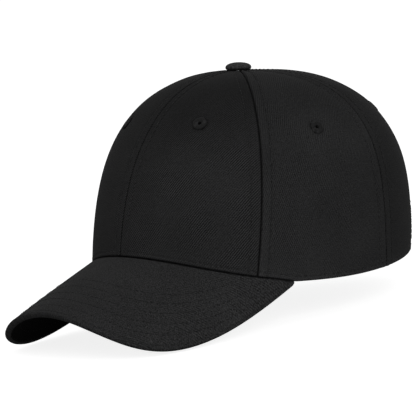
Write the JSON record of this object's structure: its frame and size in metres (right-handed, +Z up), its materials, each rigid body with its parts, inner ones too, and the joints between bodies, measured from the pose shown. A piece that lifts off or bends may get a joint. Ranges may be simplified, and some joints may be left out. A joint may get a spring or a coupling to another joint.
{
  "type": "baseball cap",
  "caption": "Structured six-panel cap: domed fabric crown, curved brim, covered top button, sewn eyelets and a hook-and-loop rear strap.",
  "frame": {"origin": "centre of the head opening, level with the lowest part of the crown's hem", "axes": "+Z up through the crown, -Y towards the front of the brim, +X towards the wearer's left"},
  "size_m": [0.1726, 0.2757, 0.1495],
  "materials": {
    "twill": "dark charcoal-black cotton twill, matte",
    "buckram": "stiff open-weave white buckram, fused",
    "binding": "black plain-weave binding tape",
    "sweatband_cloth": "black twill sweatband",
    "padding": "thin dark needled padding",
    "thread": "black polyester thread",
    "button_metal": "pressed, plain",
    "rivet_metal": "plain",
    "board": "white polyethylene board",
    "hook": "black moulded hook tape",
    "loop": "black brushed loop tape"
  },
  "bodies": {
    "cap": {"back_left_panel": "twill", "back_left_seam_tape": "binding", "back_right_panel": "twill", "back_right_seam_tape": "binding", "back_seam_tape": "binding", "brim_board": "board", "brim_top_cover": "twill", "brim_topstitching": "thread", "brim_under_cover": "twill", "button_cap": "button_metal", "button_cover": "twill", "button_rivet": "rivet_metal", "button_washer": "rivet_metal", "crown_topstitching": "thread", "eyelets": "thread", "front_left_buckram": "buckram", "front_left_panel": "twill", "front_left_seam_tape": "binding", "front_right_buckram": "buckram", "front_right_panel": "twill", "front_right_seam_tape": "binding", "front_seam_tape": "binding", "hook_strap_anchor": "twill", "loop_strap_anchor": "twill", "rear_opening_tape": "binding", "side_left_panel": "twill", "side_right_panel": "twill", "sweatband": "sweatband_cloth", "sweatband_padding": "padding"},
    "hook_strap_flap": {"hook_strap": "twill", "hook_tape": "hook"},
    "loop_strap_flap": {"loop_strap": "twill", "loop_tape": "loop"}
  },
  "joints": [
    {"name": "hook_strap_peel", "type": "hinge", "parent": "cap", "child": "hook_strap_flap", "pos_m": [-0.03475, 0.09268, 0.019], "axis": [0, 0.1185, 0.993], "range_deg": [0, 100]},
    {"name": "loop_strap_flex", "type": "hinge", "parent": "cap", "child": "loop_strap_flap", "pos_m": [0.03475, 0.09268, 0.019], "axis": [0, 0.1185, 0.993], "range_deg": [0, 35]}
  ]
}
